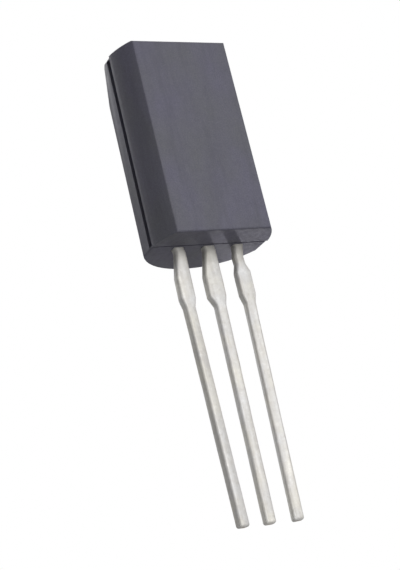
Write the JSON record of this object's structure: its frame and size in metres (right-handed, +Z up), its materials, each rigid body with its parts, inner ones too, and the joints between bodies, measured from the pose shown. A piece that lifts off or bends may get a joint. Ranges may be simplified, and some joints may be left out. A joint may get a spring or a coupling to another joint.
{
  "type": "voltage regulator",
  "caption": "Tall moulded linear voltage regulator for through-hole boards, with a flat marking face, a curved back and a row of tinned leads with shoulders.",
  "frame": {"origin": "middle lead on the underside of the body, in the parting plane of the moulding", "axes": "+Z up the body away from the leads, -Y out of the flat marking face, +X to the right seen from the marking side, from the output lead to the input lead"},
  "size_m": [0.005, 0.0038, 0.0186],
  "materials": {
    "moulding_compound": "fine matt from the mould, dark purplish grey",
    "tinned_copper": "dull tin plating with die marks along the leads",
    "silicon": "polished die",
    "attach_silver": "cured silver-filled paste",
    "gold_wire": "drawn wire"
  },
  "bodies": {
    "root": {"moulded_body": "moulding_compound", "output_lead": "tinned_copper", "ground_lead": "tinned_copper", "input_lead": "tinned_copper", "regulator_die": "silicon", "die_attach": "attach_silver", "bond_wire_output": "gold_wire", "bond_wire_ground": "gold_wire", "bond_wire_input": "gold_wire"}
  },
  "joints": []
}
